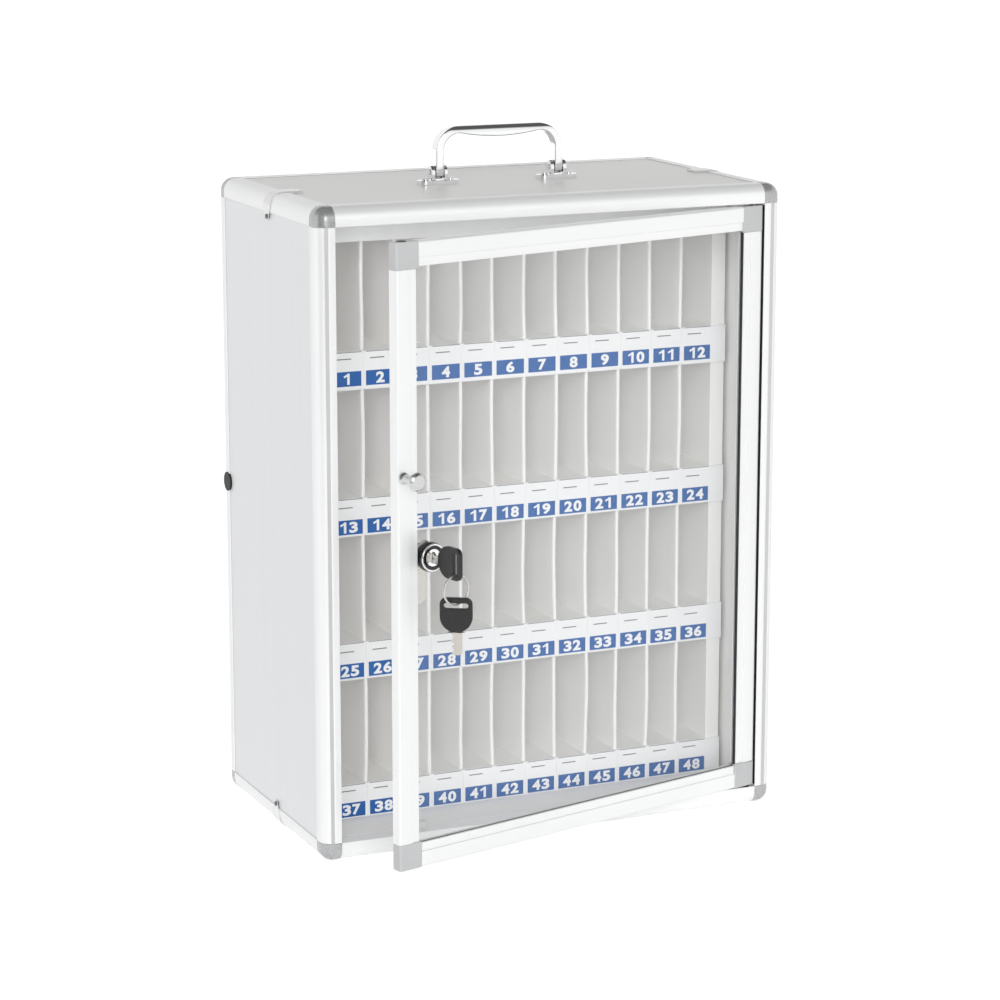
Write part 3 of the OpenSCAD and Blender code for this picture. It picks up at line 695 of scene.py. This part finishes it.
class LOCKER_OT_rack(bpy.types.Operator):
    """Finish the rack's boards and build its softly bowed dividers"""

    bl_idname = "locker.rack"
    bl_label = "Rack"

    def execute(self, context):
        sizes, colours = context.scene.locker_sizes, context.scene.locker_colours
        # Boards and dividers carry a painted glow into the rack's deep shade
        board = foil_board("rack_foil", colours.board, carried=colours.carried)
        strip = moulded("strip_plastic", colours.card, grain=900.0, rough=(0.3, 0.42), strength=0.05)
        sheet = foil_board("divider_sheet", colours.divider, rough=(0.38, 0.5), carried=colours.carried)
        for node in ("rack_sides", "rack_back", "shelf_1", "shelf_2", "shelf_3", "shelf_4"):
            eased_node(node, board, sizes.board_easing)
        for node in ("header_strip", "label_strips"):
            eased_node(node, strip, sizes.small_easing)
        chance = random.Random(48)
        for row in range(ROWS):
            node = f"dividers_row_{row + 1}"
            low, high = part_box(node)
            sheets = []
            for column in range(1, COLUMNS):
                x = column * PITCH - RACK_HALF
                bow = chance.uniform(-1, 1) * sizes.divider_bow
                sway = chance.uniform(-0.4, 0.4) * sizes.divider_bow
                phase = chance.uniform(0, math.tau)
                name = f"divider_{row}_{column}"
                sheets.append(divider_sheet(name, x, low.z, high.z, bow, sway, phase))
            whole = joined(f"bowed_dividers_row_{row + 1}", sheets)
            dress(whole, sheet, "case")
            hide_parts(node)
        return {"FINISHED"}


def digit_piece(digit, sizes):
    """A digit about its own middle: thickened built-in type, or a 1 with a flag, which that lacks."""
    wide, high = sizes.digit_w, sizes.number_h
    if digit == "1":
        stroke = 0.3 * wide
        stem = block("stem", (0, -high / 2, -TYPE_THICK), (stroke, high / 2, TYPE_THICK))
        thin = 0.9 * TYPE_THICK
        flag = block("flag", (-0.42 * wide, -0.09 * wide, -thin), (0.06 * wide, 0.12 * wide, thin))
        slope = Matrix.Rotation(math.radians(27), 4, "Z")
        flag.data.transform(Matrix.Translation((0, 0.33 * high, 0)) @ slope)
        return joined("digit_1", [stem, flag])
    bpy.ops.object.text_add(location=(0, 0, 0))
    piece = bpy.context.object
    piece.data.body = digit
    piece.data.size = TYPE_SIZE
    piece.data.offset = sizes.number_weight
    piece.data.extrude = TYPE_THICK
    piece.data.resolution_u = 5
    solo(piece)
    bpy.ops.object.convert(target="MESH")
    piece = bpy.context.object
    corners = [Vector(c) for c in piece.bound_box]
    least, most = Vector(map(min, *corners)), Vector(map(max, *corners))
    fit = Matrix.Diagonal((wide / (most.x - least.x), high / (most.y - least.y), 1, 1))
    piece.data.transform(fit @ Matrix.Translation(-(least + most) / 2))
    return piece


def number_pieces(number, x, z, sizes):
    """A number's digits side by side, standing a hair proud of their label."""
    digits = str(number)
    pieces = []
    for place, digit in enumerate(digits):
        shift = (place - (len(digits) - 1) / 2) * sizes.digit_step
        piece = digit_piece(digit, sizes)
        spot = Matrix.Translation((x + shift, CARD_FRONT - 0.2 * MM, z))
        piece.data.transform(spot @ Matrix.Rotation(math.pi / 2, 4, "X"))
        pieces.append(piece)
    return pieces


class LOCKER_OT_labels(bpy.types.Operator):
    """Print the number cards: a blue block, a number and a ruled line in front of each slot, with a painted
    shadow line along each strip's top edge
    """

    bl_idname = "locker.labels"
    bl_label = "Number Labels"

    def execute(self, context):
        sizes, colours = context.scene.locker_sizes, context.scene.locker_colours
        card = paper("card_paper", colours.card)
        blue = paper("label_blue_print", colours.label, spread=0.12, rough=(0.35, 0.5))
        white = paper("number_white_print", colours.number, rough=(0.35, 0.5))
        grey = paper("ruled_line_print_and_edge_shade", colours.name_line, spread=0.2)
        eased_node("number_cards", card, 0.08 * MM, segments=2)
        for row in range(ROWS):
            foot = STRIP_FEET[row] + LABEL_RISES[row]
            line_z = foot + sizes.block_h + sizes.name_line_up
            blocks, numbers, lines, rims = [], [], [], []
            for column in range(COLUMNS):
                x = (column + 0.5) * PITCH - RACK_HALF
                place = f"{row}_{column}"
                blocks.append(
                    block(
                        "label_" + place,
                        (x - sizes.block_w / 2, CARD_FRONT - 0.15 * MM, foot),
                        (x + sizes.block_w / 2, CARD_FRONT + 0.05 * MM, foot + sizes.block_h),
                    )
                )
                number = row * COLUMNS + column + 1
                numbers += number_pieces(number, x, foot + sizes.block_h / 2, sizes)
                line_half, line_x = sizes.name_line_w / 2, x - LINE_SHIFT
                lines.append(
                    block(
                        "line_" + place,
                        (line_x - line_half, CARD_FRONT - 0.06 * MM, line_z - sizes.name_line_h / 2),
                        (line_x + line_half, CARD_FRONT + 0.05 * MM, line_z + sizes.name_line_h / 2),
                    )
                )
                # a painted shadow line along the lip at the strip's top edge
                rims.append(
                    block(
                        "edge_" + place,
                        (x - RIM_HALF, LIP_FRONT - 0.06 * MM, SLOT_FLOORS[row] - 0.65 * MM),
                        (x + RIM_HALF, LIP_FRONT + 0.1 * MM, SLOT_FLOORS[row] - 0.15 * MM),
                    )
                )
            labels = joined(f"blue_labels_row_{row + 1}", blocks)
            ease(labels, 0.04 * MM, segments=2)
            dress(labels, blue, "case")
            dress(joined(f"numbers_row_{row + 1}", numbers), white, "case")
            for name, pieces in (("ruled_lines_row_", lines), ("strip_edge_lines_row_", rims)):
                drawn = joined(f"{name}{row + 1}", pieces)
                ease(drawn, 0.02 * MM, segments=2)
                dress(drawn, grey, "case")
        return {"FINISHED"}


# Handle


class LOCKER_OT_handle(bpy.types.Operator):
    """Round and plate the carrying handle, its brackets, pins and screws"""

    bl_idname = "locker.handle"
    bl_label = "Carrying Handle"

    def execute(self, context):
        sizes, colours = context.scene.locker_sizes, context.scene.locker_colours
        chrome = plated("bright_chrome", colours.chrome)
        bail = merged_copy("handle_bail", "handle_bail_forged")
        soften(bail, sizes.handle_grain, sizes.handle_softness)
        dress(bail, chrome, BODY_OF["handle_bail"])
        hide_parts("handle_bail")
        eased_node("handle_brackets", chrome, sizes.profile_easing)
        eased_node("handle_pins", chrome, sizes.small_easing)
        eased_node("handle_screws", chrome, sizes.small_easing)
        return {"FINISHED"}


# Door and lock


class LOCKER_OT_door(bpy.types.Operator):
    """Finish the door's frame, corners, clear pane and pull knob, with painted shade beside the hinge stile
    and in the corner socket
    """

    bl_idname = "locker.door"
    bl_label = "Door"

    def execute(self, context):
        sizes, colours = context.scene.locker_sizes, context.scene.locker_colours
        upright = brushed("door_aluminium_upright", colours.aluminium, 2)
        level = brushed("door_aluminium_level", colours.aluminium, 0, turn=-DOOR_OPEN)
        for node in ("door_latch_stile", "door_hinge_stile"):
            eased_node(node, upright, sizes.profile_easing)
        for node in ("door_top_rail", "door_bottom_rail"):
            eased_node(node, level, sizes.profile_easing)
        corner = moulded("door_corner_plastic", colours.corner)
        eased_node("door_corners", corner, sizes.corner_easing)
        pane = clear_sheet("clear_pane", colours.pane, colours.pane_veil)
        eased_node("door_pane", pane, sizes.small_easing)
        chrome = plated("knob_chrome", [0.72 * c for c in colours.chrome], rough=(0.22, 0.3))
        eased_node("door_knob", chrome, 0.4 * MM)
        steel = machined("pin_steel", colours.steel)
        eased_node("door_pivot_pins", steel, sizes.small_easing)
        # Black for the painted shade beside the hinge stile and inside the corner socket, and for the thin
        # line along the bottom rail
        rubber = moulded("shade_black_paint", colours.rubber, rough=(0.5, 0.65))
        self.seal(sizes, rubber)
        self.corner_socket(rubber)
        return {"FINISHED"}

    def seal(self, sizes, rubber):
        """Painted shade: a broad dark strip beside the hinge stile, and a thin dark line along the bottom
        rail.
        """
        front, back = DOOR_FRONT + STILE_SHADE_FRONT, DOOR_FRONT + PANE_BACK
        left, right = -DOOR_HALF + RAIL_W, DOOR_HALF - RAIL_W
        low, high = DOOR_LOW + RAIL_W, DOOR_HIGH - RAIL_W
        wide, thin = sizes.seal_w, 0.25 * sizes.seal_w
        strips = [
            block("seal_right", (right - wide, front, low), (right, back, high)),
            block("seal_bottom", (left, back - 0.5 * MM, low), (right - wide, back, low + thin)),
        ]
        for strip in strips:
            ease(strip, 0.1 * MM)
        seal = joined("pane_seal", strips)
        seal.data.transform(on_door())
        dress(seal, rubber, "door")

    def corner_socket(self, rubber):
        """A black disc painted as the shade inside the open socket in the top of the corner piece above the
        lock.
        """
        bpy.ops.mesh.primitive_cylinder_add(vertices=32, radius=SOCKET_R, depth=0.5 * MM)
        socket = bpy.context.object
        socket.name = "corner_socket"
        place = Matrix.Translation((-DOOR_HALF + SOCKET_IN, DOOR_FRONT + DOOR_T / 2, DOOR_HIGH))
        socket.data.transform(on_door() @ place)
        ease(socket, 0.1 * MM)
        dress(socket, rubber, "door")


class LOCKER_OT_lock(bpy.types.Operator):
    """Finish the cam lock and put a bright ring on its face"""

    bl_idname = "locker.lock"
    bl_label = "Cam Lock"

    def execute(self, context):
        sizes, colours = context.scene.locker_sizes, context.scene.locker_colours
        black = moulded(
            "lock_black_gloss", colours.black_gloss, grain=500.0, rough=(0.12, 0.2), strength=0.02
        )
        chrome = plated("lock_chrome", colours.chrome)
        steel = machined("lock_steel", colours.steel)
        eased_node("lock_housing", black, 0.4 * MM)
        eased_node("lock_plug", chrome, sizes.small_easing)
        eased_node("lock_nut", steel, 0.4 * MM)
        eased_node("lock_cam", steel, sizes.small_easing)
        eased_node("cam_screw", steel, sizes.small_easing)
        bpy.ops.mesh.primitive_torus_add(
            major_radius=FACE_RING_R, minor_radius=FACE_RING_THICK, major_segments=64, minor_segments=12
        )
        ring = bpy.context.object
        ring.name = "lock_face_ring"
        ring.data.transform(
            on_door()
            @ Matrix.Translation((LOCK_X, DOOR_FRONT - COLLAR_OUT + 0.5 * MM, LOCK_Z))
            @ Matrix.Rotation(math.pi / 2, 4, "X")
        )
        smooth(ring, 60)
        dress(ring, chrome, "door")
        return {"FINISHED"}


def key_blade(name, steel, place, body):
    """A key's blade with its cuts, drawn with its tip at the origin and its flat sides facing X."""
    half_w, half_t = KEY_BLADE_W / 2, KEY_BLADE_T / 2
    blade = block(name, (-half_t, -half_w, 0), (half_t, half_w, KEY_BLADE + 1.5 * MM))
    heights = [FIRST_CUT + CUT_STEP * k for k in range(len(KEY_CUTS))]
    cut(blade, [(0, 0, z) for z in heights], (0, 0, 1))
    near = 0.1 * MM
    for vertex in blade.data.vertices:
        nearest = min(range(len(heights)), key=lambda k: abs(heights[k] - vertex.co.z))
        if vertex.co.y > 0 and abs(heights[nearest] - vertex.co.z) < near:
            vertex.co.y -= KEY_CUTS[nearest] * MM
        if vertex.co.z < near:
            vertex.co.y *= 0.45
    for side in (-1, 1):
        wall, deep = side * half_t, 0.35 * MM
        low, high = (wall - deep, -0.8 * MM, -MM), (wall + deep, 0.5 * MM, KEY_BLADE - 2 * MM)
        carve(blade, block("groove", low, high))
    blade.data.transform(place)
    ease(blade, 0.12 * MM, segments=2)
    dress(blade, steel, body)
    return blade


def carve(obj, cutter):
    """Cuts one piece out of another and removes the cutter."""
    solo(obj)
    carving = obj.modifiers.new("carving", "BOOLEAN")
    carving.operation = "DIFFERENCE"
    carving.solver = "EXACT"
    carving.object = cutter
    bpy.ops.object.modifier_apply(modifier=carving.name)
    bpy.data.objects.remove(cutter)


def key_head(node, black, place):
    """The black head of a key: a copy of the node without its blade."""
    head = merged_copy(node, node + "_head")
    head.data.transform(place.inverted())
    solo(head)
    bpy.ops.object.mode_set(mode="EDIT")
    bpy.ops.mesh.select_all(action="SELECT")
    bpy.ops.mesh.bisect(
        plane_co=(0, 0, KEY_BLADE + 0.02 * MM), plane_no=(0, 0, 1), clear_inner=True, use_fill=True
    )
    bpy.ops.object.mode_set(mode="OBJECT")
    head.data.transform(place)
    ease(head, 0.5 * MM)
    dress(head, black, BODY_OF[node])
    return head


class LOCKER_OT_keys(bpy.types.Operator):
    """Finish the two keys, with black heads and cut steel blades, and their ring"""

    bl_idname = "locker.keys"
    bl_label = "Keys"

    def execute(self, context):
        sizes, colours = context.scene.locker_sizes, context.scene.locker_colours
        black = moulded("key_head_black", colours.black_gloss, rough=(0.22, 0.34), strength=0.06)
        steel = machined("key_steel", colours.steel)
        in_lock = (
            on_door()
            @ Matrix.Translation((LOCK_X, DOOR_FRONT + KEY_BLADE - KEY_OUT, LOCK_Z))
            @ Matrix.Rotation(math.pi / 2, 4, "X")
        )
        hanging = (
            on_door()
            @ Matrix.Translation((LOCK_X, DOOR_FRONT - RING_OUT, LOCK_Z + SPARE_TIP))
            @ Matrix.Rotation(SPARE_TURN, 4, "Z")
        )
        for node, place in (("key", in_lock), ("spare_key", hanging)):
            head = key_head(node, black, place)
            blade = key_blade(node + "_blade", steel, place, BODY_OF[node])
            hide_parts(node)
            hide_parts(node)
        eased_node("key_ring", steel, 0.05 * MM)
        return {"FINISHED"}


# Stage


class NodeMaths:
    """Short ways to add Math nodes to a node tree."""

    def __init__(self, tree):
        self.tree = tree

    def do(self, operation, *values):
        node = self.tree.nodes.new("ShaderNodeMath")
        node.operation = operation
        for socket, value in zip(node.inputs, values):
            if isinstance(value, bpy.types.NodeSocket):
                self.tree.links.new(value, socket)
            else:
                socket.default_value = value
        return node.outputs[0]

    def blend(self, value, from_low, from_high, low, high):
        """low to high, smoothly, as value goes from from_low to from_high."""
        node = self.tree.nodes.new("ShaderNodeMapRange")
        node.interpolation_type = "SMOOTHSTEP"
        self.tree.links.new(value, node.inputs["Value"])
        node.inputs["From Min"].default_value = from_low
        node.inputs["From Max"].default_value = from_high
        node.inputs["To Min"].default_value = low
        node.inputs["To Max"].default_value = high
        return node.outputs["Result"]


class LOCKER_OT_stage(bpy.types.Operator):
    """Set up the pale floor, the soft light and the camera"""

    bl_idname = "locker.stage"
    bl_label = "Studio"

    def execute(self, context):
        studio = context.scene.locker_studio
        self.floor(studio)
        self.dark_card()
        self.light(context.scene, studio)
        self.camera(context.scene, studio)
        return {"FINISHED"}

    def floor(self, studio):
        """A white floor, which keeps the shadow and looks a little brighter than it is lit."""
        bpy.ops.mesh.primitive_plane_add(size=FLOOR_SIZE, location=(0, 0, -0.05 * MM))
        floor = bpy.context.object
        floor.name = "studio_floor"
        material = bpy.data.materials.new("floor_paper")
        material.use_nodes = True
        tree = material.node_tree
        shader = tree.nodes["Principled BSDF"]
        shader.inputs["Base Color"].default_value = (0.9, 0.9, 0.9, 1)
        shader.inputs["Roughness"].default_value = 1.0
        shader.inputs["Specular IOR Level"].default_value = 0.0
        shader.inputs["Emission Color"].default_value = (1, 1, 1, 1)
        maths = NodeMaths(tree)
        path = tree.nodes.new("ShaderNodeLightPath").outputs
        shown = maths.do("MAXIMUM", path["Is Camera Ray"], path["Is Glossy Ray"])
        shown = maths.do("MAXIMUM", shown, path["Is Transmission Ray"])
        lift = maths.do("MULTIPLY", shown, studio.floor_lift)
        tree.links.new(lift, shader.inputs["Emission Strength"])
        floor.data.materials.append(material)

    def dark_card(self):
        """A dark card beside the camera, which only bright metal sees: it draws the edges of the chrome."""
        bpy.ops.mesh.primitive_plane_add(size=1)
        card = bpy.context.object
        card.name = "studio_dark_card"
        turn = Matrix.Rotation(math.radians(-45), 4, "Z") @ Matrix.Rotation(math.pi / 2, 4, "X")
        stretch = Matrix.Diagonal((CARD_SIZE, CARD_SIZE, 1, 1))
        card.data.transform(Matrix.Translation(CARD_PLACE) @ turn @ stretch)
        material = bpy.data.materials.new("dark_card_cloth")
        material.use_nodes = True
        shader = material.node_tree.nodes["Principled BSDF"]
        shader.inputs["Base Color"].default_value = (0.02, 0.02, 0.02, 1)
        shader.inputs["Roughness"].default_value = 1.0
        card.data.materials.append(material)
        card.visible_camera = False
        card.visible_diffuse = False
        card.visible_shadow = False
        card.visible_transmission = False

    def light(self, scene, studio):
        """A pale sky that is brightest at the horizon, and a broad soft light from the front left."""
        world = bpy.data.worlds.new("studio_sky")
        scene.world = world
        world.use_nodes = True
        tree = world.node_tree
        maths = NodeMaths(tree)
        split = tree.nodes.new("ShaderNodeSeparateXYZ")
        tree.links.new(tree.nodes.new("ShaderNodeTexCoord").outputs["Generated"], split.inputs[0])
        up = split.outputs["Z"]
        lit = maths.do("MULTIPLY", maths.blend(up, 0.25, 0.85, 1.0, studio.ceiling), studio.sky)
        mirrored = maths.blend(up, 0.4, 0.75, 1.0, studio.ceiling_shine)
        path = tree.nodes.new("ShaderNodeLightPath").outputs
        shown = maths.do("MAXIMUM", path["Is Camera Ray"], path["Is Transmission Ray"])
        # white behind the object, the shaded ceiling in metal, and the sky's own light elsewhere
        background = tree.nodes["Background"]
        background.inputs["Color"].default_value = (1, 1, 1, 1)
        glossy = path["Is Glossy Ray"]
        plain = maths.do("SUBTRACT", 1.0, maths.do("MAXIMUM", shown, glossy))
        total = maths.do("ADD", shown, maths.do("MULTIPLY", glossy, mirrored))
        total = maths.do("ADD", total, maths.do("MULTIPLY", plain, lit))
        tree.links.new(total, background.inputs["Strength"])
        bpy.ops.object.light_add(type="SUN", location=(-2, -3, 1.5))
        key = bpy.context.object
        key.name = "key_light"
        key.data.energy = studio.key
        key.data.angle = KEY_SPREAD
        key.rotation_euler = KEY_FROM.to_track_quat("Z", "Y").to_euler()

    def camera(self, scene, studio):
        bpy.ops.object.camera_add(location=CAMERA_PLACE)
        camera = bpy.context.object
        camera.rotation_euler = (CAMERA_TILT, 0, CAMERA_TURN)
        camera.data.lens = studio.lens
        camera.data.sensor_width = 36
        camera.data.clip_start = 0.05
        camera.data.clip_end = 200
        scene.camera = camera
        scene.view_settings.view_transform = "Standard"


# Panel and registration


OPERATORS = (
    LOCKER_OT_edge_profiles,
    LOCKER_OT_corner_caps,
    LOCKER_OT_panels,
    LOCKER_OT_fittings,
    LOCKER_OT_rack,
    LOCKER_OT_labels,
    LOCKER_OT_handle,
    LOCKER_OT_door,
    LOCKER_OT_lock,
    LOCKER_OT_keys,
    LOCKER_OT_stage,
)
GROUPS = {
    "locker_sizes": LockerSizes,
    "locker_colours": LockerColours,
    "locker_studio": LockerStudio,
}


class LOCKER_PT_sidebar(bpy.types.Panel):
    """Lists the locker box's pieces and settings"""

    bl_idname = "LOCKER_PT_sidebar"
    bl_label = "Locker Box"
    bl_space_type = "VIEW_3D"
    bl_region_type = "UI"
    bl_category = "Locker Box"

    def draw(self, context):
        column = self.layout.column(align=True)
        for operator in OPERATORS:
            column.operator(operator.bl_idname)
        for name, group in GROUPS.items():
            settings = self.layout.column(align=True)
            for prop in group.__annotations__:
                settings.prop(getattr(context.scene, name), prop)


CLASSES = (*GROUPS.values(), *OPERATORS, LOCKER_PT_sidebar)


def register():
    for cls in CLASSES:
        bpy.utils.register_class(cls)
    for name, group in GROUPS.items():
        setattr(bpy.types.Scene, name, bpy.props.PointerProperty(type=group))


def unregister():
    for name in GROUPS:
        delattr(bpy.types.Scene, name)
    for cls in reversed(CLASSES):
        bpy.utils.unregister_class(cls)


def main():
    register()
    for name in list(bpy.data.objects.keys()):
        obj = bpy.data.objects[name]
        if obj.type in {"CAMERA", "LIGHT"}:
            bpy.data.objects.remove(obj)
    for operator in OPERATORS:
        group, action = operator.bl_idname.split(".")
        getattr(getattr(bpy.ops, group), action)()


if __name__ == "__main__":
    main()
